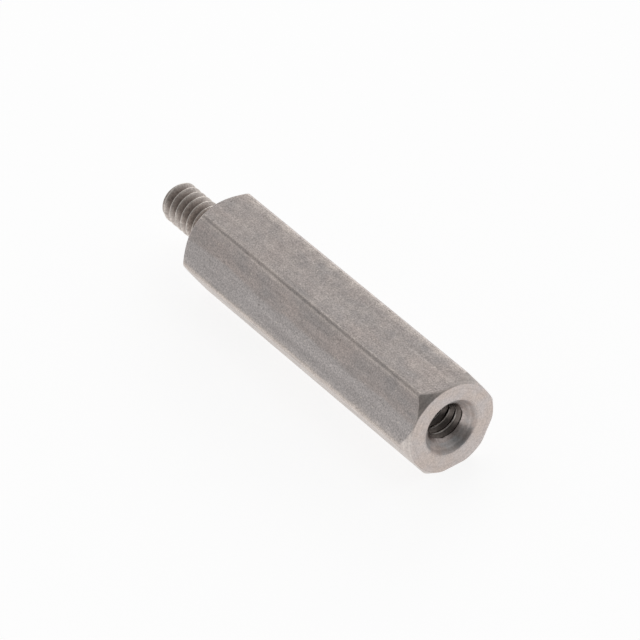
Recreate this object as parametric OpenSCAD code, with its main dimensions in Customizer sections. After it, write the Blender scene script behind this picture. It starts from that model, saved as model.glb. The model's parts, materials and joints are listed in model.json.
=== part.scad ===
// Male-female hex standoff, turned in one piece from drawn hex bar.
// It lies on one flat of the hex. X runs along its axis: the tapped mouth faces +X and
// the threaded stud points to -X. The origin is midway along the whole length, on the
// surface that the standoff lies on.
// Both threads stand as plain cylinders at their crests: the stud's at its outside
// diameter, and the hole's at the diameter that was drilled for the tap.

/* [Hex body] */
// Distance across the flats of the hex bar
across_flats = 6.35; // [5:0.05:9]
// Length of the hex body, from the mouth's face to the stud's shoulder
body_l = 25.4; // [15:0.1:60]
// How much the bar's six blunt edges take off the distance across its corners
edge_under = 0.09; // [0.02:0.01:0.4]

/* [Turned ends] */
// How much wider than the flats the mouth's face is turned, in diameter
mouth_face_over = 0.1; // [0.02:0.02:0.5]
// Angle of the mouth's corner chamfer, from the face
mouth_chamfer_angle = 55; // [25:1:65]
// How much narrower than the flats the stud's shoulder is turned, in diameter
shoulder_face_under = 1.75; // [0.1:0.05:2.1]
// Angle of the shoulder's corner chamfer, from the face
shoulder_chamfer_angle = 43; // [25:1:65]

/* [Thread] */
// Outside diameter of the thread, on the stud and in the hole
thread_d = 2.845; // [2:0.005:3.6]
// Distance from one thread crest to the next
thread_pitch = 0.635; // [0.35:0.005:0.8]

/* [Stud] */
// Length of the stud, from its shoulder to its tip
stud_l = 4.76; // [3:0.01:12]
// Width and height of the lead-in chamfer round the stud's tip
tip_chamfer = 0.36; // [0.1:0.02:0.6]

/* [Tapped hole] */
// Depth of the drilled hole, from the mouth's face to the full diameter's end
hole_l = 11.1; // [5:0.1:13]
// How much wider than the thread the countersink is at the face, in diameter
countersink_over = 1.165; // [0.2:0.005:1.8]
// Included angle of the countersink
countersink_angle = 90; // [60:5:120]
// Share of a full thread's height that the tap leaves in the hole
thread_share = 0.71; // [0.5:0.01:0.85]
// Included angle of the drill's point
drill_angle = 118; // [90:1:140]

/* [Hidden] */

// How far a cutter runs past the face that it opens, and the stud into the body
overrun = 0.5;

// Height of a full 60 degree thread, both sides together, in pitches
full_thread_ratio = 1.299;

total_l = body_l + stud_l;
corner_d = across_flats / cos(30);
edge_d = corner_d - edge_under;
mouth_face_d = across_flats + mouth_face_over;
shoulder_face_d = across_flats - shoulder_face_under;
drill_d = thread_d - full_thread_ratio * thread_share * thread_pitch;
countersink_d = thread_d + countersink_over;
countersink_l = (countersink_d - drill_d) / 2 / tan(countersink_angle / 2);
drill_point_l = drill_d / 2 / tan(drill_angle / 2);

// Curved surfaces are drawn with this many sides
$fn = 96;

// The round shape whose meeting with the hexagon leaves the blunt long edges and the
// turned chamfers of both ends, shoulder at the bottom
module turned_body() {
    mouth_chamfer_l = (edge_d - mouth_face_d) / 2 * tan(mouth_chamfer_angle);
    shoulder_chamfer_l = (edge_d - shoulder_face_d) / 2 * tan(shoulder_chamfer_angle);
    rotate_extrude()
        polygon([
            [0, 0],
            [shoulder_face_d / 2, 0],
            [edge_d / 2, shoulder_chamfer_l],
            [edge_d / 2, body_l - mouth_chamfer_l],
            [mouth_face_d / 2, body_l],
            [0, body_l],
        ]);
}

// The stud, hanging below the shoulder
module stud() {
    rotate_extrude()
        polygon([
            [0, overrun],
            [thread_d / 2, overrun],
            [thread_d / 2, tip_chamfer - stud_l],
            [thread_d / 2 - tip_chamfer, -stud_l],
            [0, -stud_l],
        ]);
}

// The drilled hole with its countersink, cut down from the mouth's face
module tapped_hole() {
    rotate_extrude()
        polygon([
            [0, overrun],
            [countersink_d / 2, overrun],
            [countersink_d / 2, 0],
            [drill_d / 2, -countersink_l],
            [drill_d / 2, -hole_l],
            [0, -hole_l - drill_point_l],
        ]);
}

module standoff() {
    color("#A39D99")
        translate([stud_l - total_l / 2, 0, across_flats / 2])
            rotate([0, 90, 0])
                difference() {
                    union() {
                        intersection() {
                            linear_extrude(body_l)
                                rotate(30)
                                    circle(d = corner_d, $fn = 6);
                            turned_body();
                        }
                        stud();
                    }
                    translate([0, 0, body_l])
                        tapped_hole();
                }
}

standoff();
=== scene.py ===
# %% [markdown]
# # A male-female hex standoff
#
# A hex standoff holds two boards or panels a fixed distance apart. One end is a threaded
# stud, the other end is a tapped hole. A lathe makes it in one go from drawn hex bar: it
# faces and chamfers the ends, turns the stud down, cuts its thread, then drills,
# countersinks and taps the hole. The maker then tumbles it, which dulls the metal.
#
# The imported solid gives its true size, with plain cylinders in place of the threads. This
# script dresses that solid. It builds one closed skin with the rolled-over edges and the
# real threads, gives each kind of cut its own steel finish, and lights it on a pale floor.

import json
import math

import bmesh
import bpy
import numpy as np
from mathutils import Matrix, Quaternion, Vector


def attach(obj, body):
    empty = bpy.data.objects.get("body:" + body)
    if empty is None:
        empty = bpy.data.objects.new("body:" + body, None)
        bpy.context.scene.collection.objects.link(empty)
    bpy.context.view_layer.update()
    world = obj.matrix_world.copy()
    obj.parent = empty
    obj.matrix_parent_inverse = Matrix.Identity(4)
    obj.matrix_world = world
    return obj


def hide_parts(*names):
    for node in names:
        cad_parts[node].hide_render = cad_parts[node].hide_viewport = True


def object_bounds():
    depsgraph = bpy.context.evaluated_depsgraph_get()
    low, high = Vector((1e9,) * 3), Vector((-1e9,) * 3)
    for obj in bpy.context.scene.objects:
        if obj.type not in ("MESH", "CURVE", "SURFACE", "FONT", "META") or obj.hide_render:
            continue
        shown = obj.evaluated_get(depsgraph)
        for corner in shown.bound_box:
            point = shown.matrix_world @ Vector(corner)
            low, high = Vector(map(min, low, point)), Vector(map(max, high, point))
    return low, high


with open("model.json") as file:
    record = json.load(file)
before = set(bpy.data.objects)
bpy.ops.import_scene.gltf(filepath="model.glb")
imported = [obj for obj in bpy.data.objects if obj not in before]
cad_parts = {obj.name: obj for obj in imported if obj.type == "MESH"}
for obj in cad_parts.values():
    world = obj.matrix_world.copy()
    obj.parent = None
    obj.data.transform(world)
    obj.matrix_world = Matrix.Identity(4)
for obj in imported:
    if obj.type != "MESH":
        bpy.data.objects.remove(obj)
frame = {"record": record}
cad_low, cad_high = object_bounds()
print("solid from", tuple(cad_low), "to", tuple(cad_high))

# %% [markdown]
# ## Sizes
#
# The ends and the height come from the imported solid, so the skin can't drift away from it.
# The drill and the stud come from its two mounts. The other sizes repeat the lathe's own,
# in millimetres, because a machinist thinks in them. Everything here is worked out in
# millimetres and turned into metres when it becomes a mesh.

# %% Sizes in millimetres
MM = 0.001

mounts = {mount["name"]: mount for mount in frame["record"]["mounts"]}
mouth_x = cad_high.x / MM
tip_x = cad_low.x / MM
across_flats = cad_high.z / MM
axis_z = across_flats / 2
shoulder_x = mounts["shoulder_face"]["pos_m"][0] / MM
drill_r = mounts["tapped_hole"]["dims"]["r_mm"]
stud_r = mounts["stud"]["dims"]["r_mm"]

edge_round = 0.25
mouth_face_over = 0.05
mouth_face_r = (across_flats + mouth_face_over) / 2
mouth_chamfer_angle = math.radians(55)
shoulder_face_under = 1.75
shoulder_face_r = (across_flats - shoulder_face_under) / 2
shoulder_chamfer_angle = math.radians(43)
pitch = 0.635
tip_cut = 0.36
countersink_over = 1.165
countersink_r = stud_r + countersink_over / 2
countersink_l = countersink_r - drill_r
hole_l = 11.1
drill_point_angle = math.radians(118)
print(f"{mouth_x - tip_x:.2f} mm long, {across_flats:.2f} mm across its flats")

# %% [markdown]
# ## Two small helpers
#
# A colour picked on a screen is an sRGB value, but a shader works with linear light, so one
# function turns the first into the second. Another adds a node, gives it its settings and,
# on a colour ramp, its stops, and joins its inputs. A value set on a socket and a link into
# it are written the same way.


# %% Helpers for colours and nodes
def linear(hex_colour):
    """Turns an sRGB colour such as #C9C3BD into the linear one that a shader uses."""
    parts = [int(hex_colour[i : i + 2], 16) / 255 for i in (1, 3, 5)]
    return [p / 12.92 if p <= 0.04045 else ((p + 0.055) / 1.055) ** 2.4 for p in parts] + [1.0]


def add_node(tree, kind, inputs=(), ramp=(), **settings):
    """Adds a node. inputs gives each socket a value or another node, ramp its colour stops."""
    node = tree.nodes.new(kind)
    for name, value in settings.items():
        setattr(node, name, value)
    for place, _ in ramp[1:-1]:
        node.color_ramp.elements.new(place)
    for number, (place, hex_colour) in enumerate(ramp):
        node.color_ramp.elements[number].position = place
        node.color_ramp.elements[number].color = linear(hex_colour)
    for socket, source in dict(inputs).items():
        if isinstance(source, bpy.types.Node):
            source = source.outputs[0]
        if isinstance(source, bpy.types.NodeSocket):
            tree.links.new(source, node.inputs[socket])
        else:
            node.inputs[socket].default_value = source
    return node


print("white is", linear("#FFFFFF"))

# %% [markdown]
# ## The metal
#
# All of it is one bar, taken to be 18-8 stainless steel, which is usual for such a part: an
# alloy of iron, chromium and nickel. Its bare surface is a metal: no colour of its own under
# the reflections, and a slightly warm grey. What differs from place to place is how each
# surface was cut, and that sets how rough it is and which way its marks run. So there are
# six materials of one metal. How each was made is read from how it looks.
#
# They all start alike, so one function makes the shared part. The object's own coordinates
# times a thousand are millimetres. A noise whose scale is one over a width then has lumps
# about that many millimetres wide, so each pattern below starts from a width.


# %% The start that all finishes share
def start_steel(name):
    """A material with a bare metal shader, and coordinates that count millimetres."""
    material = bpy.data.materials.new(name)
    material.use_nodes = True
    tree = material.node_tree
    tree.nodes.clear()
    metal = add_node(tree, "ShaderNodeBsdfPrincipled", {"Metallic": 1.0})
    add_node(tree, "ShaderNodeOutputMaterial", {"Surface": metal})
    place = add_node(tree, "ShaderNodeTexCoord")
    centred = (0.0, 0.0, -axis_z)
    millimetres = add_node(
        tree,
        "ShaderNodeMapping",
        {"Vector": place.outputs["Object"], "Location": centred, "Scale": (1 / MM,) * 3},
    )
    return material, tree, metal, millimetres


print("one millimetre is", MM, "m")

# %% [markdown]
# ### Drawn and tumbled flats
#
# The six flats came from the mill as drawn bar: pulled through a die, which leaves fine
# lines along the length. Tumbling with stone chips then covers them with tiny dents, so
# the sheen turns soft and grainy. To the eye that is a matt grey with warm and cool
# patches a few millimetres long, faint streaks along the bar and a fine grain.
#
# The patches come first. They are drawn out along the bar, so their noise reads places
# that are squeezed along it.

# %% Drawn and tumbled flats: patches
patch_width = 1.818
patch_length = 4.04
flats_steel, tree, metal, millimetres = start_steel("stainless_drawn_and_tumbled")
drawn_out = add_node(
    tree,
    "ShaderNodeMapping",
    {"Vector": millimetres, "Scale": (patch_width / patch_length, 1.0, 1.0)},
)
patches = add_node(
    tree,
    "ShaderNodeTexNoise",
    {"Vector": drawn_out, "Scale": 1 / patch_width, "Detail": 3.0, "Roughness": 0.6},
)
patch_tone = add_node(
    tree, "ShaderNodeValToRGB", {"Fac": patches}, ramp=((0.36, "#B0AAA8"), (0.64, "#C6BBB6"))
)
print("patches", patch_width, "by", patch_length, "mm")

# %% [markdown]
# The streaks of the die and the grain of the tumbling make the patches' tone lighter or
# darker. The grain of such a finish is usually about 0.03 mm, too fine to show, so it is
# drawn at about 0.1 mm.

# %% Drawn and tumbled flats: streaks and grain
streak_width = 0.3125
streak_length = 7.8125
grain_width = 0.0952
stretched = add_node(
    tree,
    "ShaderNodeMapping",
    {"Vector": millimetres, "Scale": (streak_width / streak_length, 1.0, 1.0)},
)
streaks = add_node(
    tree,
    "ShaderNodeTexNoise",
    {"Vector": stretched, "Scale": 1 / streak_width, "Detail": 4.0, "Roughness": 0.65},
)
grain = add_node(
    tree,
    "ShaderNodeTexNoise",
    {"Vector": millimetres, "Scale": 1 / grain_width, "Detail": 2.0, "Roughness": 0.6},
)
streak_level = add_node(
    tree,
    "ShaderNodeMapRange",
    {"Value": streaks, "From Min": 0.3, "From Max": 0.7, "To Min": 0.9, "To Max": 1.1},
)
grain_level = add_node(
    tree,
    "ShaderNodeMapRange",
    {"Value": grain, "From Min": 0.25, "From Max": 0.75, "To Min": 0.65, "To Max": 1.35},
)
level = add_node(
    tree, "ShaderNodeMath", {0: streak_level, 1: grain_level}, operation="MULTIPLY"
)
toned = add_node(
    tree, "ShaderNodeVectorMath", {0: patch_tone, "Scale": level}, operation="SCALE"
)
print("flats:", len(tree.nodes), "nodes for the tones")

# %% [markdown]
# One half of each flat is painted a shade lighter and cooler than the other, on some flats
# more than on others. That is painted reflection, standing in for the light that half of the
# flat mirrors. The skin says how far across its flat each point is, in an attribute called
# across, and how strongly its flat gets this painted reflection, in a second attribute. The
# patches make the line between the halves wander.

# %% Drawn and tumbled flats: the half with painted reflection
wander = 0.4
across = add_node(tree, "ShaderNodeAttribute", attribute_name="across")
wandering = add_node(
    tree,
    "ShaderNodeMath",
    {0: patches, 1: wander, 2: across.outputs["Fac"]},
    operation="MULTIPLY_ADD",
)
in_painted_lighter_half = add_node(
    tree, "ShaderNodeMapRange", {"Value": wandering, "From Min": 0.68, "From Max": 0.75}
)
painted_lighter = add_node(tree, "ShaderNodeAttribute", attribute_name="painted_lighter")
painted_lighter_there = add_node(
    tree,
    "ShaderNodeMath",
    {0: in_painted_lighter_half, 1: painted_lighter.outputs["Fac"]},
    operation="MULTIPLY",
)
# The colour of the lighter half: painted reflection.
painted_lighter_colour = add_node(
    tree,
    "ShaderNodeVectorMath",
    {0: linear("#C7C1BF")[:3], "Scale": level},
    operation="SCALE",
)
painted_lighter_tone = add_node(
    tree, "ShaderNodeMix", {0: painted_lighter_there, 6: toned, 7: painted_lighter_colour}, data_type="RGBA"
)
print("flats:", len(tree.nodes), "nodes with the rubbed half")

# %% [markdown]
# Tumbling also leaves a few nicks, and the bar has a few pits from the mill. They could be
# modelled, but they are too shallow to change the outline. So both are spots in the cells of
# a Voronoi texture: each cell draws a number, and only a share of the cells shows its spot.
# The nicks are painted near white, a painted glint where a nick catches the light, and the
# pits are painted dark, painted shade inside them. Real ones are mostly finer, and these are
# drawn as wide as they need to show.
# Core and rim are the radii where a spot is full and where it ends, as shares of the cells'
# spacing in millimetres.

# %% Drawn and tumbled flats: nicks with painted glints, pits with painted shade
spot_strength = 0.65
marks = {}
marked_tone = painted_lighter_tone.outputs[2]
# Nicks get a painted glint, pits a painted shade; the pits are also in the relief below.
for name, spacing, share, core, rim, colour in (
    ("nick_glints", 0.4167, 0.28, 0.06, 0.17, "#EFE6DA"),
    ("pits_with_shade", 1.111, 0.2, 0.02, 0.08, "#6A625C"),
):
    cells = add_node(
        tree, "ShaderNodeTexVoronoi", {"Vector": millimetres, "Scale": 1 / spacing}
    )
    draw = add_node(tree, "ShaderNodeSeparateColor", {0: cells.outputs["Color"]})
    chosen = add_node(
        tree, "ShaderNodeMath", {0: draw, 1: 1 - share}, operation="GREATER_THAN"
    )
    reach = {"From Min": core, "From Max": rim, "To Min": spot_strength, "To Max": 0.0}
    spot = add_node(
        tree, "ShaderNodeMapRange", {"Value": cells.outputs["Distance"], **reach}
    )
    marks[name] = add_node(
        tree, "ShaderNodeMath", {0: chosen, 1: spot}, operation="MULTIPLY"
    )
    marked_tone = add_node(
        tree,
        "ShaderNodeMix",
        {0: marks[name], 6: marked_tone, 7: linear(colour)},
        data_type="RGBA",
    ).outputs[2]
print("flats:", len(tree.nodes), "nodes with", " and ".join(marks))

# %% [markdown]
# In the tumbler the long edges take most of the knocks, so they are burnished: a little
# smoother and lighter than the flats. Their lighter colour is partly burnish and partly a
# painted highlight along each edge, strongest on the edge at 180 degrees. Some flats are a
# little lighter all over, and the flat after that edge fully, a painted reflection. The skin
# says how much at each point, in an attribute. A noise with lumps just under a millimetre
# makes it uneven, less so where it is strong, because knocks that overlap even each other
# out: there the least level that the noise can give is higher.

# %% Drawn and tumbled flats: burnished edges with painted highlight
knock_width = 0.8333
burnish_and_highlight = add_node(tree, "ShaderNodeAttribute", attribute_name="burnish_and_highlight")
knocks = add_node(
    tree,
    "ShaderNodeTexNoise",
    {"Vector": millimetres, "Scale": 1 / knock_width, "Detail": 4.0, "Roughness": 0.6},
)
evening_out = 0.7
least_on_plain = -0.2
least_level = add_node(
    tree,
    "ShaderNodeMath",
    {0: burnish_and_highlight.outputs["Fac"], 1: evening_out, 2: least_on_plain},
    operation="MULTIPLY_ADD",
)
burnish_and_highlight_levels = {"To Min": least_level, "To Max": 1.15}
burnish_and_highlight_level = add_node(
    tree,
    "ShaderNodeMapRange",
    {"Value": knocks, "From Min": 0.36, "From Max": 0.64, **burnish_and_highlight_levels},
)
burnished_and_highlighted = add_node(
    tree,
    "ShaderNodeMath",
    {0: burnish_and_highlight.outputs["Fac"], 1: burnish_and_highlight_level},
    operation="MULTIPLY",
)
# Lighter colour of burnish and painted highlight along the edges, and painted reflection on the
# flat after the edge at 180 degrees.
burnished_and_highlighted_tone = add_node(
    tree,
    "ShaderNodeVectorMath",
    {0: linear("#D5CBC4")[:3], "Scale": level},
    operation="SCALE",
)
edge_toned = add_node(
    tree, "ShaderNodeMix", {0: burnished_and_highlighted, 6: marked_tone, 7: burnished_and_highlighted_tone}, data_type="RGBA"
)
tree.links.new(edge_toned.outputs[2], metal.inputs["Base Color"])
print("flats:", len(tree.nodes), "nodes with burnished edges")

# %% [markdown]
# Roughness says how far a reflection spreads. It differs a little from patch to patch, and
# the burnished places are smoother. The dents, the streaks and the pits are only a few
# thousandths of a millimetre deep. A mesh fine enough for them would be huge, so a bump
# node tilts the shading by their height instead.

# %% Drawn and tumbled flats: sheen and relief
burnished_smoother = 0.1
pit_depth_share = 2.0
dent_height = 0.008

sheen = add_node(
    tree,
    "ShaderNodeMapRange",
    {"Value": patches, "From Min": 0.3, "From Max": 0.7, "To Min": 0.46, "To Max": 0.56},
)
edge_sheen = add_node(
    tree,
    "ShaderNodeMath",
    {0: burnished_and_highlighted, 1: -burnished_smoother, 2: sheen},
    operation="MULTIPLY_ADD",
)
tree.links.new(edge_sheen.outputs[0], metal.inputs["Roughness"])

dents = add_node(tree, "ShaderNodeMath", {0: grain, 1: streaks}, operation="ADD")
relief = add_node(
    tree,
    "ShaderNodeMath",
    {0: marks["pits_with_shade"], 1: -pit_depth_share, 2: dents},
    operation="MULTIPLY_ADD",
)
dented = add_node(
    tree, "ShaderNodeBump", {"Height": relief, "Strength": 1.0, "Distance": dent_height * MM}
)
tree.links.new(dented.outputs[0], metal.inputs["Normal"])
print("flats are done,", len(tree.nodes), "nodes")

# %% [markdown]
# ### Turned faces, chamfers and countersink
#
# A lathe tool leaves a fine spiral groove, so a faced end catches the light in rings. A
# usual feed is 0.05 mm a turn, which is too fine to show, so the rings are drawn about
# 0.12 mm apart, and weakly, because tumbling wears them down as well. The distance from
# the axis is worked out in the material, and a one-dimensional noise along it makes rings
# of uneven width.
#
# Grooves that run round the axis spread a reflection across themselves and hardly along
# themselves. Anisotropy does that to the shader. It needs a direction to work from, which
# here points round the axis, and a quarter turn from it, because the spread is across.


# %% Rings round the axis
ring_spacing = 0.125
QUARTER_TURN = 0.25


def add_rings(tree, millimetres):
    """Adds a noise in rings. Returns it and the direction straight out from the axis."""
    sides = add_node(tree, "ShaderNodeSeparateXYZ", {0: millimetres})
    outwards = add_node(
        tree, "ShaderNodeCombineXYZ", {1: sides.outputs[1], 2: sides.outputs[2]}
    )
    radius = add_node(tree, "ShaderNodeVectorMath", {0: outwards}, operation="LENGTH")
    rings = add_node(
        tree,
        "ShaderNodeTexNoise",
        {"W": radius.outputs["Value"], "Scale": 1 / ring_spacing, "Detail": 2.0},
        noise_dimensions="1D",
    )
    return rings, outwards


def spread_across_rings(tree, metal, outwards, anisotropy):
    """Spreads the metal's reflections across grooves that run round the axis."""
    axis = (1.0, 0.0, 0.0)
    round_axis = add_node(
        tree, "ShaderNodeVectorMath", {0: axis, 1: outwards}, operation="CROSS_PRODUCT"
    )
    tree.links.new(round_axis.outputs[0], metal.inputs["Tangent"])
    metal.inputs["Anisotropic"].default_value = anisotropy
    metal.inputs["Anisotropic Rotation"].default_value = QUARTER_TURN


print("rings", ring_spacing, "mm apart")

# %% [markdown]
# A turned surface is stained in patches, as the flats are. The rings and the tumbled grain
# make it lighter or darker, and both are in its relief. The grain is as fine as on the
# flats, and is drawn at about 0.1 mm here too, so that it shows.


# %% Turned steel
turned_grain_width = 0.1111
turned_patch_width = 1.111
ring_share = 0.5
groove_height = 0.005


def make_turned_steel(name, tone, stain, roughness, ring_relief, anisotropy):
    """Bare turned steel whose marks are rings round the axis."""
    material, tree, metal, millimetres = start_steel(name)
    rings, outwards = add_rings(tree, millimetres)
    spread_across_rings(tree, metal, outwards, anisotropy)
    metal.inputs["Roughness"].default_value = roughness
    fine = {"Scale": 1 / turned_grain_width, "Detail": 2.0, "Roughness": 0.6}
    grain = add_node(tree, "ShaderNodeTexNoise", {"Vector": millimetres, **fine})
    coarse = {"Scale": 1 / turned_patch_width, "Detail": 2.0}
    patches = add_node(tree, "ShaderNodeTexNoise", {"Vector": millimetres, **coarse})
    traces = add_node(
        tree, "ShaderNodeMath", {0: rings, 1: ring_share, 2: grain}, operation="MULTIPLY_ADD"
    )
    level = add_node(
        tree,
        "ShaderNodeMapRange",
        {"Value": traces, "From Min": 0.5, "From Max": 1.0, "To Min": 0.8, "To Max": 1.17},
    )
    stained = add_node(
        tree, "ShaderNodeValToRGB", {"Fac": patches}, ramp=((0.36, tone), (0.64, stain))
    )
    toned = add_node(
        tree, "ShaderNodeVectorMath", {0: stained, "Scale": level}, operation="SCALE"
    )
    tree.links.new(toned.outputs[0], metal.inputs["Base Color"])
    grooves = add_node(
        tree, "ShaderNodeMath", {0: rings, 1: ring_relief, 2: grain}, operation="MULTIPLY_ADD"
    )
    cut = add_node(
        tree,
        "ShaderNodeBump",
        {"Height": grooves, "Strength": 1.0, "Distance": groove_height * MM},
    )
    tree.links.new(cut.outputs[0], metal.inputs["Normal"])
    return material


print("turned grain", turned_grain_width, "mm wide")

# %% [markdown]
# The faced ends are the roughest. The chamfers are narrow cuts with a smoother finish. The
# countersink's tool is wide and chatters, so its grooves are the deepest. The tumbling
# chips are too big to reach in there, so only its grooves still pull a reflection out into
# a wedge, light or dark, with sharp sides that point at the axis.

# %% Three turned finishes
faced_steel = make_turned_steel(
    "stainless_faced",
    tone="#CDC5C2",
    stain="#CFC3BC",
    roughness=0.5,
    ring_relief=0.6,
    anisotropy=0.0,
)
countersunk_steel = make_turned_steel(
    "stainless_countersunk",
    tone="#B8B6B6",
    stain="#B3A7A1",
    roughness=0.34,
    ring_relief=1.2,
    anisotropy=0.9,
)
chamfered_steel = make_turned_steel(
    "stainless_chamfered",
    tone="#D4CCC7",
    stain="#D1C7C1",
    roughness=0.38,
    ring_relief=0.4,
    anisotropy=0.0,
)
print("turned:", faced_steel.name, countersunk_steel.name, chamfered_steel.name)

# %% [markdown]
# ### Cut threads
#
# A die cut the stud's thread and a tap cut the hole's. Their flanks are smooth. The thread's
# own mesh says how deep in the groove each point is, in an attribute called groove: 0.1 on
# the crest, 1 at the root, and 0 or less where a cone has cut the crest away. The material
# paints the crests lighter, a painted highlight, and the groove darker and a little brown
# towards its root, painted shade. Where a cone has cut, the point keeps the cone's plain tone.
# The torn grain of such a cut is usually finer than 0.1 mm, and is drawn at 0.15 mm so that it
# shows.


# %% Threaded steel
torn_width = 0.1538
torn_height = 0.008


def make_threaded_steel(name, cone, crest, flank, root, roughness):
    """Bare cut thread, with a painted highlight on its crests and painted shade down in the
    groove.
    """
    material, tree, metal, millimetres = start_steel(name)
    groove = add_node(tree, "ShaderNodeAttribute", attribute_name="groove")
    # Painted highlight on the crests, painted shade down the flanks to the root.
    crest_highlight_and_groove_shade = add_node(
        tree,
        "ShaderNodeValToRGB",
        {"Fac": groove.outputs["Fac"]},
        ramp=((0.0, cone), (0.08, crest), (0.14, crest), (0.3, flank), (1.0, root)),
    )
    grain = add_node(
        tree,
        "ShaderNodeTexNoise",
        {"Vector": millimetres, "Scale": 1 / torn_width, "Detail": 2.0, "Roughness": 0.7},
    )
    grain_level = add_node(
        tree,
        "ShaderNodeMapRange",
        {"Value": grain, "From Min": 0.25, "From Max": 0.75, "To Min": 0.68, "To Max": 1.28},
    )
    toned = add_node(
        tree, "ShaderNodeVectorMath", {0: crest_highlight_and_groove_shade, "Scale": grain_level}, operation="SCALE"
    )
    tree.links.new(toned.outputs[0], metal.inputs["Base Color"])
    metal.inputs["Roughness"].default_value = roughness
    torn = add_node(
        tree, "ShaderNodeBump", {"Height": grain, "Strength": 1.0, "Distance": torn_height * MM}
    )
    tree.links.new(torn.outputs[0], metal.inputs["Normal"])
    return material


print("torn grain", torn_width, "mm wide")

# %% [markdown]
# The stud's thread was tumbled as the flats were. The chips hardly reach the hole's, so it
# is smoother. Its flanks and roots are painted far darker than its crests: painted shade
# down in the hole, and a painted highlight along the crests.

# %% Two threaded finishes
stud_steel = make_threaded_steel(
    "stainless_die_cut",
    cone="#DDD6CF",
    crest="#DDD5CE",
    flank="#CCC3BD",
    root="#ACA29C",
    roughness=0.46,
)
# Near-white crests are a painted highlight; the dark flanks and roots are painted shade in the
# hole.
tapped_steel = make_threaded_steel(
    "stainless_tapped",
    cone="#B8AEAA",
    crest="#F8F2EC",
    flank="#645D59",
    root="#7E7671",
    roughness=0.3,
)
print("threads:", stud_steel.name, "and", tapped_steel.name)

# %% [markdown]
# ## The skin of the turned bar
#
# The body could be a hexagonal prism with bevelled edges, but its ends aren't prism-like:
# where the lathe's cones meet the flats they leave curved edges, and the bevel there
# changes width all the way round. So the skin is made as the lathe and the die made it,
# from two rules. Looking along the axis, the bar's radius is a rule of the angle. Looking
# from the side, the cuts are a path of straight lines for each angle.
#
# Columns go round the axis. They crowd near the six corners, where the surface turns fast.
# Angles are in degrees from the Y axis, and the corners are at 0, 60, 120 and so on.

# %% Columns round the axis
SIDES = 6
SIDE_TURN = 360 // SIDES
MIDDLE = SIDE_TURN / 2
corner_steps = [0.0, 0.8, 1.6, 2.4, 3.6, 6.0, 9.5, 13.5, 17.0, 19.9, 23.0, 26.5]
offsets = sorted({side * step for step in corner_steps for side in (-1, 1)}) + [MIDDLE]
column_angles = [corner + offset for corner in range(0, 360, SIDE_TURN) for offset in offsets]
columns = len(column_angles)
print(columns, "columns round the axis")

# %% [markdown]
# The die left the long edges with a 0.25 mm radius. Tumbling then rolled the metal over a
# little further, so each flat falls away very slightly beside its edges, by less than a
# hundredth of a millimetre. A metal shows its reflections and not its shape, so the narrow
# round draws a fine dark or light line along each edge.

# %% The bar's radius at an angle
edge_fall = 0.007
edge_fall_reach = 5.0
corner_centre = (across_flats / 2 - edge_round) / math.cos(math.radians(MIDDLE))
round_ends_at = MIDDLE - math.degrees(math.atan(corner_centre / 2 / (across_flats / 2)))


def bar_radius(angle):
    """Distance from the axis to the bar's surface, at an angle in degrees."""
    from_corner = abs((angle + MIDDLE) % SIDE_TURN - MIDDLE)
    rolled = edge_fall * max(0.0, 1 - from_corner / edge_fall_reach) ** 2
    sideways = corner_centre * math.sin(math.radians(from_corner))
    if from_corner < round_ends_at:
        ahead = corner_centre * math.cos(math.radians(from_corner))
        return ahead + math.sqrt(edge_round**2 - sideways**2) - rolled
    return across_flats / 2 / math.cos(math.radians(MIDDLE - from_corner)) - rolled


print(f"corners {2 * bar_radius(0):.3f} mm apart, flats {2 * bar_radius(MIDDLE):.3f} mm")

# %% [markdown]
# Each column's path starts in the countersink, goes out over the mouth's face, down the
# chamfer, along the bar to the shoulder, and in to the stud.
#
# A collet never holds a bar quite true. The mouth's chamfer was turned about 0.08 mm off
# the bar's middle, so the facet at the top corner is wider than the one below it.

# %% The path of the cuts at an angle
run_out = 0.08
run_out_angle = -60
ring_depth = 0.55


def cut_path(angle):
    """The path's corners, from inside the mouth to the stud, and how far along each is."""
    bar_r = bar_radius(angle)
    face_r = mouth_face_r + run_out * math.cos(math.radians(angle - run_out_angle))
    mouth_cut = max(0.0, bar_r - face_r) * math.tan(mouth_chamfer_angle)
    shoulder_cut = (bar_r - shoulder_face_r) * math.tan(shoulder_chamfer_angle)
    corners = np.array(
        [
            (mouth_x - ring_depth, countersink_r - ring_depth),
            (mouth_x, countersink_r),
            (mouth_x, min(face_r, bar_r)),
            (mouth_x - mouth_cut, bar_r),
            (shoulder_x + shoulder_cut, bar_r),
            (shoulder_x, shoulder_face_r),
            (shoulder_x, stud_r),
        ]
    )
    lengths = np.hypot(*np.diff(corners, axis=0).T)
    return corners, np.concatenate([[0], np.cumsum(lengths)])


print(f"a path is {cut_path(0)[1][-1]:.2f} mm long at a corner")

# %% [markdown]
# No real edge is perfectly sharp, so each point on the path becomes the average of the path
# for 0.08 mm either way. That breaks every edge by the same small amount, also where two
# edges run together. A point has the same number in every column, and seven of them stand
# close together at each edge, where the path turns.


# %% The path with its edges broken
edge_break = 0.08
break_steps = (-1.6, -1.0, -0.5, 0.0, 0.5, 1.0, 1.6)
break_samples = 9
body_rows = 6


def broken_path(angle):
    """The same path as evenly numbered points, with its edges broken."""
    corners, at = cut_path(angle)
    stops = [at[0], at[-1]]
    stops += [place + step * edge_break for place in at[1:-1] for step in break_steps]
    stops += list(np.linspace(at[3], at[4], body_rows + 2)[1:-1])
    stops = np.sort(stops)
    spread = np.linspace(-edge_break, edge_break, break_samples)
    spread = spread * np.minimum(1, np.minimum(stops, at[-1] - stops) / edge_break)[:, None]
    return [
        np.interp(stops[:, None] + spread, at, corners[:, k]).mean(axis=1) for k in (0, 1)
    ]


rows_in_path = len(broken_path(0)[0])
print(rows_in_path, "rows along the path")

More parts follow.
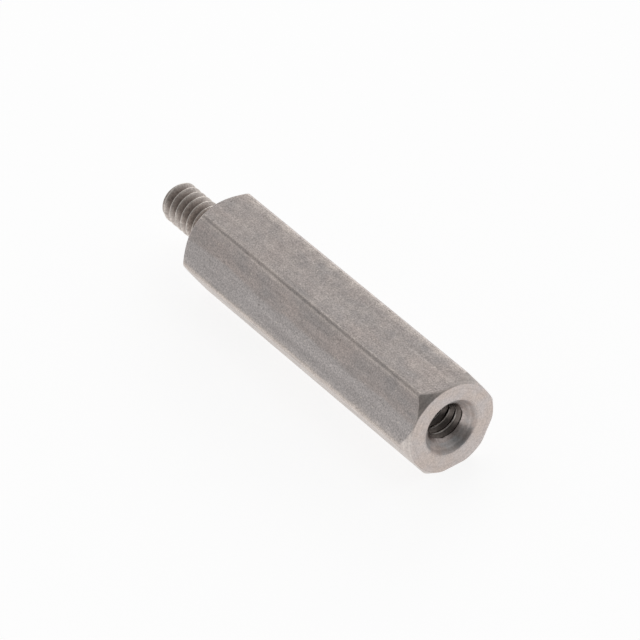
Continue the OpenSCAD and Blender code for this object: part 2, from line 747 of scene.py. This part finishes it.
# %% [markdown]
# The skin's faces join each column to the next, and the last one to the first. A small
# function makes a mesh object from points in millimetres. It leaves the object at the
# origin, unturned and unscaled, with its place in its mesh.


# %% The skin as a mesh
def mesh_object(name, points, faces, materials):
    """An object at the origin whose mesh holds points in millimetres."""
    mesh = bpy.data.meshes.new(name)
    mesh.from_pydata([tuple(c * MM for c in p) for p in points], [], faces)
    for material in materials:
        mesh.materials.append(material)
    made = bpy.data.objects.new(name, mesh)
    bpy.context.scene.collection.objects.link(made)
    return made


skin_points = []
for angle in column_angles:
    turn = math.radians(angle)
    for x, radius in zip(*broken_path(angle)):
        skin_points.append((x, radius * math.cos(turn), axis_z + radius * math.sin(turn)))
skin_faces = []
for column in range(columns):
    for row in range(rows_in_path - 1):
        here = column * rows_in_path + row
        beside = (column + 1) % columns * rows_in_path + row
        skin_faces.append((here, here + 1, beside + 1, beside))
skin_steels = [flats_steel, faced_steel, countersunk_steel, chamfered_steel]
skin = mesh_object("standoff_turned", skin_points, skin_faces, skin_steels)
print("skin:", len(skin.data.vertices), "points,", len(skin.data.polygons), "faces")

# %% [markdown]
# No two edges or flats look alike. The lists below go round the bar, one value for each
# corner, at 0, 60, 120 degrees and so on, or for the flat that follows it. The lighter band
# beside an edge is partly burnish and partly painted highlight. It is strongest just beside
# the edge's round and fades over the flat, sooner or later by the edge's width. The edge at
# 180 degrees gets the most, and the flat after it is painted lighter all over, a painted
# reflection, as is one half of each flat. The values go on the skin's points, one for each
# column, and the flats' material reads them.

# %% How each edge and flat is worn, and where it is painted lighter
edge_strengths = np.array([1.0, 1.0, 0.9, 1.4, 0.9, 1.0])
edge_widths = np.array([1.2, 2.0, 1.0, 1.0, 1.0, 1.5])
# How much lighter each flat is all over: a little burnish, and on the flat after the edge at
# 180 degrees a painted reflection.
flats_burnished_and_highlighted = np.array([0.2, 0.34, 0.0, 1.0, 0.2, 0.1])
# How strongly the lighter half of each flat is painted: painted reflection.
flats_painted_lighter = np.array([0.6, 0.1, 0.9, 0.5, 0.7, 0.4])
degrees_from_corner = [0.0, 1.6, 2.4, 3.6, 6.0, 9.5]
burnished_and_highlighted_there = [0.4, 0.9, 1.0, 0.5, 0.15, 0.0]


def write_attribute(name, column_values):
    """Writes one value a column to a point attribute of the skin."""
    attribute = skin.data.attributes.new(name, "FLOAT", "POINT")
    attribute.data.foreach_set("value", np.repeat(column_values, rows_in_path))


at_angle = np.array(column_angles)
from_corner = np.abs((at_angle + MIDDLE) % SIDE_TURN - MIDDLE)
corner_number = ((at_angle + MIDDLE) // SIDE_TURN).astype(int) % SIDES
flat_number = (at_angle // SIDE_TURN).astype(int) % SIDES
near_edge = edge_strengths[corner_number] * np.interp(
    from_corner / edge_widths[corner_number], degrees_from_corner, burnished_and_highlighted_there
)
write_attribute("burnish_and_highlight", np.maximum(near_edge, flats_burnished_and_highlighted[flat_number]))
from_middle = np.tan(np.radians(at_angle % SIDE_TURN - MIDDLE))
write_attribute("across", 0.5 + from_middle / np.tan(np.radians(MIDDLE)) / 2)
write_attribute("painted_lighter", flats_painted_lighter[flat_number])
print("most burnished:", f"{near_edge.max():.2f}")

# %% [markdown]
# Each face takes its finish from the cut that its column's path is on at that row: the
# countersink's cone comes first, then the faced end, its chamfer, the flats, the chamfer of
# the shoulder and the shoulder's face.

# %% Which cut made which face
FLATS, FACED, COUNTERSUNK, CHAMFERED = range(4)


def finish_slots(angle):
    """For each row of faces at an angle: which of the skin's four materials it has."""
    _, at = cut_path(angle)
    x, radius = broken_path(angle)
    gone = np.concatenate([[0], np.cumsum(np.hypot(np.diff(x), np.diff(radius)))])
    middle = (gone[1:] + gone[:-1]) / 2
    slots = np.full(len(middle), FACED)
    slots[middle < at[1]] = COUNTERSUNK
    slots[(middle > at[2]) & (middle < at[5])] = CHAMFERED
    slots[(middle > at[3]) & (middle < at[4])] = FLATS
    return slots


slots = np.concatenate([finish_slots(angle) for angle in column_angles])
skin.data.polygons.foreach_set("material_index", slots.astype(np.int32))
print("faces by finish:", np.bincount(slots))

# %% [markdown]
# ## The threads
#
# A thread is a groove that follows a helix, so it repeats once a turn by a rule. Sweeping a
# profile along a helix with a Screw modifier leaves ragged ends, and here both ends have to
# meet the skin in a clean ring. So Geometry Nodes roll up a flat strip instead. Across the
# strip a point's X says how far round the axis it goes, in turns, and its Y says how far
# along, in pitches. Adding the two slants every row into a helix, and limiting the result
# to the thread's two ends squashes the rows beyond them into one ring, where merging by
# distance makes them one row of points.
#
# The depth of the groove at a point depends on its distance from the nearest crest: flat on
# the crest, straight down the 60 degree flank, and flat at the root. The same tree cuts the
# stud's thread inwards and the hole's thread outwards, so Side is -1 for one and 1 for the
# other. Towards both ends the groove fades out, as a die or a tap leaves it, and at the
# open end a 45 degree cone cuts the crests away as well.

# %% The thread tree: its inputs
thread_tree = bpy.data.node_groups.new("thread_rolled_from_strip", "GeometryNodeTree")
sizes = (
    "Pitch, Phase, Low end, High end, Crest radius, Depth, Side, Crest share, Root share, "
    "Open end, Open cut, Closed end, Run-out, Run-in, Axis height, Wear, Seed"
).split(", ")
thread_sockets = [("Strip", "Geometry"), *((size, "Float") for size in sizes)]
thread_sockets += [("Steel", "Material")]
thread_inputs = {}
for name, kind in thread_sockets:
    socket = thread_tree.interface.new_socket(
        name, in_out="INPUT", socket_type="NodeSocket" + kind
    )
    thread_inputs[name] = socket.identifier
thread_tree.interface.new_socket("Thread", in_out="OUTPUT", socket_type="NodeSocketGeometry")
given = add_node(thread_tree, "NodeGroupInput").outputs
position = add_node(thread_tree, "GeometryNodeInputPosition")
strip_place = add_node(thread_tree, "ShaderNodeSeparateXYZ", {0: position})
known = {socket.name: socket for socket in given if socket.name}
known["turn"] = strip_place.outputs["X"]
known["row"] = strip_place.outputs["Y"]
print("thread inputs:", ", ".join(thread_inputs))

# %% [markdown]
# The rest is arithmetic. Each line below is one Math node: the name of its result, what it
# does, and what goes in, by name or as a number. The crest's and the root's corners are
# rounded by the smooth maximum and minimum, whose last number is how far the rounding goes.

# %% The thread tree: where a point goes
ROUND_CORNERS = 0.15
ROUND_FADE = 0.3
place_steps = [
    ("along", "ADD", "row", "turn"),
    ("along with phase", "ADD", "along", "Phase"),
    ("unlimited x", "MULTIPLY", "along with phase", "Pitch"),
    ("x above low end", "MAXIMUM", "unlimited x", "Low end"),
    ("x", "MINIMUM", "x above low end", "High end"),
    ("x in pitches", "DIVIDE", "x", "Pitch"),
    ("past this turn", "SUBTRACT", "x in pitches", "turn"),
    ("past a crest", "SUBTRACT", "past this turn", "Phase"),
    ("from nearest crest", "PINGPONG", "past a crest", 0.5),
    ("half crest", "MULTIPLY", "Crest share", 0.5),
    ("past the crest's flat", "SUBTRACT", "from nearest crest", "half crest"),
    ("flat shares", "ADD", "Crest share", "Root share"),
    ("flank shares", "SUBTRACT", 1.0, "flat shares"),
    ("flank share", "MULTIPLY", "flank shares", 0.5),
    ("down the flank", "DIVIDE", "past the crest's flat", "flank share"),
    ("below crest", "SMOOTH_MAX", "down the flank", 0.0, ROUND_CORNERS),
    ("groove", "SMOOTH_MIN", "below crest", 1.0, ROUND_CORNERS),
    ("x from closed end", "SUBTRACT", "x", "Closed end"),
    ("from closed end", "ABSOLUTE", "x from closed end"),
    ("run-out passed", "DIVIDE", "from closed end", "Run-out"),
    ("fade", "SMOOTH_MIN", "run-out passed", 1.0, ROUND_FADE),
    ("groove depth", "MULTIPLY", "groove", "Depth"),
    ("angle", "MULTIPLY", "turn", 2 * math.pi),
    ("cosine", "COSINE", "angle"),
    ("sine", "SINE", "angle"),
    ("crest y", "MULTIPLY", "cosine", "Crest radius"),
    ("crest z", "MULTIPLY", "sine", "Crest radius"),
]
for name, operation, *numbers in place_steps:
    sockets = {k: known.get(n, n) for k, n in enumerate(numbers)}
    known[name] = add_node(
        thread_tree, "ShaderNodeMath", sockets, operation=operation, label=name
    ).outputs[0]
print(len(place_steps), "steps of arithmetic for the groove")

# %% [markdown]
# The tool tears the crests a little and tumbling nicks them, by a few hundredths of a
# millimetre. A noise on the rolled-up position, with a fixed seed and lumps of about
# 0.4 mm, lowers them unevenly. Then the fades and the open end's cone give the depth at
# last, and with it the point's new place. The groove attribute for the material is worked
# out here too, and falls quickly where the cone has cut.

# %% The thread tree: wear, ends and radius
WEAR_LUMPS_PER_M = 2600.0
SOFTEN_CUT = 0.02 * MM
# How fast the painted groove shade goes where the cone has cut.
SHADE_LIFTED_BY_CONE = 8.0
CREST_MARK = 0.1
on_crest = add_node(
    thread_tree,
    "ShaderNodeCombineXYZ",
    {0: known["x"], 1: known["crest y"], 2: known["crest z"]},
)
known["lump"] = add_node(
    thread_tree,
    "ShaderNodeTexNoise",
    {"Vector": on_crest, "W": known["Seed"], "Scale": WEAR_LUMPS_PER_M, "Detail": 1.0},
    noise_dimensions="4D",
).outputs[0]
end_steps = [
    ("wear here", "MULTIPLY", "lump", "Wear"),
    ("groove with wear", "ADD", "groove depth", "wear here"),
    ("x from open end", "SUBTRACT", "x", "Open end"),
    ("from open end", "ABSOLUTE", "x from open end"),
    ("run-in passed", "DIVIDE", "from open end", "Run-in"),
    ("fade at open end", "SMOOTH_MIN", "run-in passed", 1.0, ROUND_FADE),
    ("both fades", "MULTIPLY", "fade", "fade at open end"),
    ("thread depth", "MULTIPLY", "groove with wear", "both fades"),
    ("cone depth", "SUBTRACT", "Open cut", "from open end"),
    ("depth", "SMOOTH_MAX", "thread depth", "cone depth", SOFTEN_CUT),
    ("outwards", "MULTIPLY", "depth", "Side"),
    ("radius", "ADD", "Crest radius", "outwards"),
    ("y", "MULTIPLY", "cosine", "radius"),
    ("z from axis", "MULTIPLY", "sine", "radius"),
    ("z", "ADD", "z from axis", "Axis height"),
    ("by the cone", "SUBTRACT", "cone depth", "thread depth"),
    ("fresh cut", "MAXIMUM", "by the cone", 0.0),
    ("darkening", "MULTIPLY_ADD", "fresh cut", -SHADE_LIFTED_BY_CONE, "thread depth"),
    ("unshifted share", "DIVIDE", "darkening", "Depth"),
    ("groove share", "MULTIPLY_ADD", "unshifted share", 1 - CREST_MARK, CREST_MARK),
]
for name, operation, *numbers in end_steps:
    sockets = {k: known.get(n, n) for k, n in enumerate(numbers)}
    known[name] = add_node(
        thread_tree, "ShaderNodeMath", sockets, operation=operation, label=name
    ).outputs[0]
print(len(end_steps), "steps of arithmetic for the ends and the wear")

# %% [markdown]
# Last, the tree stores the groove attribute, moves the strip's points to their places,
# merges the squashed rows and sets the steel. The points that come to lie within two
# thousandths of a millimetre of each other become one.

# %% The thread tree: rolling, welding and finish
WELD = 0.002 * MM
rolled = add_node(
    thread_tree, "ShaderNodeCombineXYZ", {0: known["x"], 1: known["y"], 2: known["z"]}
)
marked = add_node(
    thread_tree,
    "GeometryNodeStoreNamedAttribute",
    {"Geometry": given["Strip"], "Name": "groove", "Value": known["groove share"]},
    data_type="FLOAT",
    domain="POINT",
)
wound = add_node(
    thread_tree, "GeometryNodeSetPosition", {"Geometry": marked, "Position": rolled}
)
welded = add_node(
    thread_tree, "GeometryNodeMergeByDistance", {"Geometry": wound, "Distance": WELD}
)
real = add_node(thread_tree, "GeometryNodeRealizeInstances", {"Geometry": welded})
finished = add_node(
    thread_tree, "GeometryNodeSetMaterial", {"Geometry": real, "Material": given["Steel"]}
)
add_node(thread_tree, "NodeGroupOutput", {"Thread": finished})
print("thread tree has", len(thread_tree.nodes), "nodes")

# %% [markdown]
# The strip needs as many columns as the skin, at the same angles, with the first one again
# after a whole turn. Its rows start a turn early, because the slant moves them on. The
# modifier's inputs are set before Blender looks at the object, and the result is copied
# into a plain mesh.


# %% Rolling a strip into a thread
PLAIN_NUMBERS = ("Phase", "Side", "Crest share", "Root share", "Seed")


def roll_thread(name, steel, rows_per_turn, low_end, high_end, **values):
    """A thread between two places along the axis, in millimetres, as a plain mesh object."""
    phase = values["Phase"]
    first = math.floor(low_end / pitch - phase) - 2
    last = math.ceil(high_end / pitch - phase) + 1
    rows = (last - first) * rows_per_turn + 1
    turns = [angle / 360 for angle in column_angles + [column_angles[0] + 360]]
    points = [(u, first + row / rows_per_turn, 0) for row in range(rows) for u in turns]
    wide = len(turns)
    faces = [
        (k, k + 1, k + 1 + wide, k + wide)
        for row in range(rows - 1)
        for k in range(row * wide, row * wide + wide - 1)
    ]
    mesh = bpy.data.meshes.new(name + "_strip")
    mesh.from_pydata(points, [], faces)
    strip = bpy.data.objects.new(name + "_strip", mesh)
    bpy.context.scene.collection.objects.link(strip)
    modifier = strip.modifiers.new("roll", "NODES")
    modifier.node_group = thread_tree
    values |= {"Low end": low_end, "High end": high_end, "Pitch": pitch, "Axis height": axis_z}
    for key, value in values.items():
        value = value if key in PLAIN_NUMBERS else value * MM
        modifier[thread_inputs[key]] = float(value)
    modifier[thread_inputs["Steel"]] = steel
    bpy.context.view_layer.update()
    evaluated = strip.evaluated_get(bpy.context.evaluated_depsgraph_get())
    made = bpy.data.objects.new(name, bpy.data.meshes.new_from_object(evaluated))
    bpy.context.scene.collection.objects.link(made)
    strip.modifiers.remove(modifier)
    bpy.data.objects.remove(strip)
    print(name, "has", len(made.data.vertices), "points")
    return made


print("numbers that aren't lengths:", ", ".join(PLAIN_NUMBERS))

# %% [markdown]
# The stud carries a full 60 degree coarse thread of 40 turns to the inch. Its crests are an
# eighth of a pitch wide.

# %% The stud's thread
full_depth = 0.6134 * pitch
stud_thread = roll_thread(
    "stud_thread",
    stud_steel,
    rows_per_turn=22,
    low_end=tip_x,
    high_end=shoulder_x,
    **{
        "Phase": 0.72,
        "Crest radius": stud_r,
        "Depth": full_depth,
        "Side": -1,
        "Crest share": 0.125,
        "Root share": 0.167,
        "Open end": tip_x,
        "Open cut": tip_cut,
        "Closed end": shoulder_x,
        "Run-out": 0.9 * pitch,
        "Run-in": 0.9 * pitch,
        "Wear": 0.014,
        "Seed": 3,
    },
)

# %% [markdown]
# The hole was drilled wider than the thread's root, as is usual, so its thread is only 71%
# of full height. The tap's tapered nose leaves a long run-out at the bottom.

# %% The hole's thread
threaded_l = 9.6
hole_thread = roll_thread(
    "hole_thread",
    tapped_steel,
    rows_per_turn=16,
    low_end=mouth_x - threaded_l,
    high_end=mouth_x - ring_depth,
    **{
        "Phase": 0.95,
        "Crest radius": drill_r,
        "Depth": stud_r - drill_r,
        "Side": 1,
        "Crest share": 0.1,
        "Root share": 0.125,
        "Open end": mouth_x,
        "Open cut": countersink_l,
        "Closed end": mouth_x - threaded_l,
        "Run-out": 2.5 * pitch,
        "Run-in": 0.5 * pitch,
        "Wear": 0.012,
        "Seed": 8,
    },
)

# %% [markdown]
# Below its thread the hole stays as it was drilled, and ends in the cone of the drill's
# point. The stud's tip is left open here: it is a plain round face, filled when all the
# parts are welded together.

# %% The bottom of the hole
bottom_x = mouth_x - hole_l
point_x = bottom_x - drill_r / math.tan(drill_point_angle / 2)
bottom_points = []
for x in (mouth_x - threaded_l, bottom_x):
    for angle in column_angles:
        turn = math.radians(angle)
        bottom_points.append((x, drill_r * math.cos(turn), axis_z + drill_r * math.sin(turn)))
bottom_points.append((point_x, 0.0, axis_z))
bottom_faces = []
for column in range(columns):
    beside = (column + 1) % columns
    bottom_faces.append((column, beside, columns + beside, columns + column))
    bottom_faces.append((columns + column, columns + beside, 2 * columns))
hole_bottom = mesh_object("hole_bottom", bottom_points, bottom_faces, [tapped_steel])
print(f"the hole ends {mouth_x - point_x:.2f} mm deep")

# %% [markdown]
# ## Welding it into one piece
#
# The four meshes share their rings point for point, so joining them and merging the
# doubles closes every seam. The one opening left is the stud's tip. Then the normals are
# recalculated, so that all faces look outwards, and edges that turn by more than 35 degrees
# stay sharp in the shading.

# %% One closed piece
sharp_above = math.radians(35)
parts = [skin, stud_thread, hole_thread, hole_bottom]
with bpy.context.temp_override(
    active_object=skin, object=skin, selected_editable_objects=parts, selected_objects=parts
):
    bpy.ops.object.join()
standoff = skin

welding = bmesh.new()
welding.from_mesh(standoff.data)
bmesh.ops.remove_doubles(welding, verts=welding.verts, dist=WELD)
tip_edges = [edge for edge in welding.edges if edge.is_boundary]
tip = bmesh.ops.holes_fill(welding, edges=tip_edges, sides=0)
for face in tip["faces"]:
    face.material_index = FACED
bmesh.ops.recalc_face_normals(welding, faces=welding.faces)
open_edges = sum(not edge.is_manifold for edge in welding.edges)
volume = welding.calc_volume(signed=True) / MM**3
welding.to_mesh(standoff.data)
welding.free()

standoff.data.polygons.foreach_set("use_smooth", [True] * len(standoff.data.polygons))
standoff.data.set_sharp_from_angle(angle=sharp_above)
standoff.data.update()
standoff.data.calc_loop_triangles()
print("tip faces:", len(tip["faces"]), " edges left open:", open_edges)
print(f"volume {volume:.1f} mm3,", len(standoff.data.loop_triangles), "triangles")

# %% [markdown]
# ## Riding on the solid
#
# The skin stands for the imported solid, which stays hidden underneath it.

# %% The piece and the solid that it stands for
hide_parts("standoff")
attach(standoff, "root")

# %% [markdown]
# ## The floor
#
# The floor is plain and pale. It only has to catch the soft shadow and to show white, to
# the camera and in the metal. Raising the lamps until it turned white would wash out the
# metal, so part of its brightness is a glow that only camera, glossy and transmission rays
# see.

# %% A pale floor
floor_gap = 0.01 * MM
half_floor = 1.5
floor_mesh = bpy.data.meshes.new("floor")
floor_mesh.from_pydata(
    [
        (-half_floor, -half_floor, -floor_gap),
        (half_floor, -half_floor, -floor_gap),
        (half_floor, half_floor, -floor_gap),
        (-half_floor, half_floor, -floor_gap),
    ],
    [],
    [(0, 1, 2, 3)],
)
floor = bpy.data.objects.new("floor", floor_mesh)
bpy.context.scene.collection.objects.link(floor)
print("floor", 2 * half_floor, "m wide")

# %% [markdown]
# The floor is matt white board. A clean board is nearly one tone, so a noise with wide, soft
# lumps moves it only a little. The glow is added to it, and stays just below full white.

# %% Matt white board
board_lump = 0.125
glow_strength = 0.82
floor_paint = bpy.data.materials.new("matt_white_board")
floor_paint.use_nodes = True
tree = floor_paint.node_tree
tree.nodes.clear()
place = add_node(tree, "ShaderNodeTexCoord")
board_tone = add_node(
    tree, "ShaderNodeTexNoise", {"Vector": place.outputs["Object"], "Scale": 1 / board_lump}
)
board_colour = add_node(
    tree, "ShaderNodeValToRGB", {"Fac": board_tone}, ramp=((0.0, "#9E9E9E"), (1.0, "#A2A2A2"))
)
board = add_node(tree, "ShaderNodeBsdfDiffuse", {"Color": board_colour})
ray = add_node(tree, "ShaderNodeLightPath")
seen = ray.outputs["Is Camera Ray"]
for kind in ("Is Glossy Ray", "Is Transmission Ray"):
    seen = add_node(
        tree, "ShaderNodeMath", {0: seen, 1: ray.outputs[kind]}, operation="MAXIMUM"
    )
glow_level = add_node(
    tree, "ShaderNodeMath", {0: seen, 1: glow_strength}, operation="MULTIPLY"
)
glow = add_node(tree, "ShaderNodeEmission", {"Strength": glow_level})
both = add_node(tree, "ShaderNodeAddShader", {0: board, 1: glow})
add_node(tree, "ShaderNodeOutputMaterial", {"Surface": both})
floor_mesh.materials.append(floor_paint)
print("floor glow", glow_strength)

# %% [markdown]
# ## The camera
#
# A long lens from the front right and well above, so the near end looks hardly larger than
# the far one. The camera leans a few degrees, and the lean turns it about its own view.

# %% The camera
camera_at = Vector((217.11, -141.32, 211.73)) * MM
camera_aim = Vector((1.66, -0.38, 3.591)) * MM
camera_lean = math.radians(-4.106)

lens = bpy.data.cameras.new("camera")
lens.sensor_width = 36.0
lens.lens = 292.6
lens.clip_start = 0.01
lens.clip_end = 20.0
camera = bpy.data.objects.new("camera", lens)
bpy.context.scene.collection.objects.link(camera)
camera.location = camera_at
camera.rotation_mode = "QUATERNION"
facing = (camera_aim - camera_at).to_track_quat("-Z", "Y")
camera.rotation_quaternion = facing @ Quaternion((0, 0, 1), camera_lean)
bpy.context.scene.camera = camera
bpy.context.scene.view_settings.view_transform = "Standard"
print(f"camera {(camera_at - camera_aim).length / MM:.0f} mm away")

# %% [markdown]
# ## The studio
#
# Bare metal shows what is round it, so the room matters more than the lamps. White paper
# lies under the part. The walls and ceiling are mid grey, and the side of the room where
# the camera stands is dark, so a surface that faces the camera goes dark. The world makes
# that room from directions: it starts at the ceiling's level, and each patch blends
# towards its own level round its direction. A patch is written as its name and direction,
# the cosines of the angles where it starts and where it is full, and its level.

# %% The room
to_camera = (camera_at - camera_aim).normalized()
ROOM_LEVEL = 0.5
room_patches = [
    ("dark side behind the camera", to_camera, 0.62, 0.93, 0.17),
    ("gap above the set", Vector((-0.64, -0.34, 0.69)), 0.88, 0.985, 0.41),
    ("far right wall", Vector((0.1, 0.95, 0.28)), 0.7, 0.95, 0.62),
]
world = bpy.data.worlds.new("studio_room")
bpy.context.scene.world = world
world.use_nodes = True
tree = world.node_tree
tree.nodes.clear()
direction = add_node(tree, "ShaderNodeTexCoord").outputs["Generated"]
room_level = ROOM_LEVEL
for label, towards, starts, full, patch_level in room_patches:
    along = add_node(
        tree,
        "ShaderNodeVectorMath",
        {0: direction, 1: towards.normalized()},
        operation="DOT_PRODUCT",
        label=label,
    )
    amount = add_node(
        tree,
        "ShaderNodeMapRange",
        {"Value": along.outputs["Value"], "From Min": starts, "From Max": full},
        interpolation_type="SMOOTHSTEP",
    )
    room_level = add_node(tree, "ShaderNodeMix", {0: amount, 2: room_level, 3: patch_level})
ray = add_node(tree, "ShaderNodeLightPath")
seen_level = add_node(
    tree, "ShaderNodeMix", {0: ray.outputs["Is Camera Ray"], 2: room_level, 3: 1.0}
)
light = add_node(
    tree, "ShaderNodeBackground", {"Color": linear("#FFFFFF"), "Strength": seen_level}
)
add_node(tree, "ShaderNodeOutputWorld", {"Surface": light})
print(len(room_patches), "patches in the room")

# %% [markdown]
# One large softbox stands low at the back left. It draws the light band along the far long
# edge and a soft shadow. A lamp's brightness, as the metal mirrors it, is its power over
# its area and pi, so the power is worked out from the level wanted.

# %% The softbox
softbox_towards = Vector((-0.62, 0.72, 0.33))
softbox_away = 0.7
softbox_size = 0.4
softbox_level = 1.3

lamp = bpy.data.lights.new("softbox_back_left", "AREA")
lamp.shape = "SQUARE"
lamp.size = softbox_size
lamp.energy = softbox_level * math.pi * softbox_size**2
softbox = bpy.data.objects.new("softbox_back_left", lamp)
bpy.context.scene.collection.objects.link(softbox)
softbox.location = softbox_towards.normalized() * softbox_away
softbox.rotation_mode = "QUATERNION"
softbox.rotation_quaternion = (-softbox_towards).to_track_quat("-Z", "Y")
print(f"softbox {lamp.energy:.2f} W")
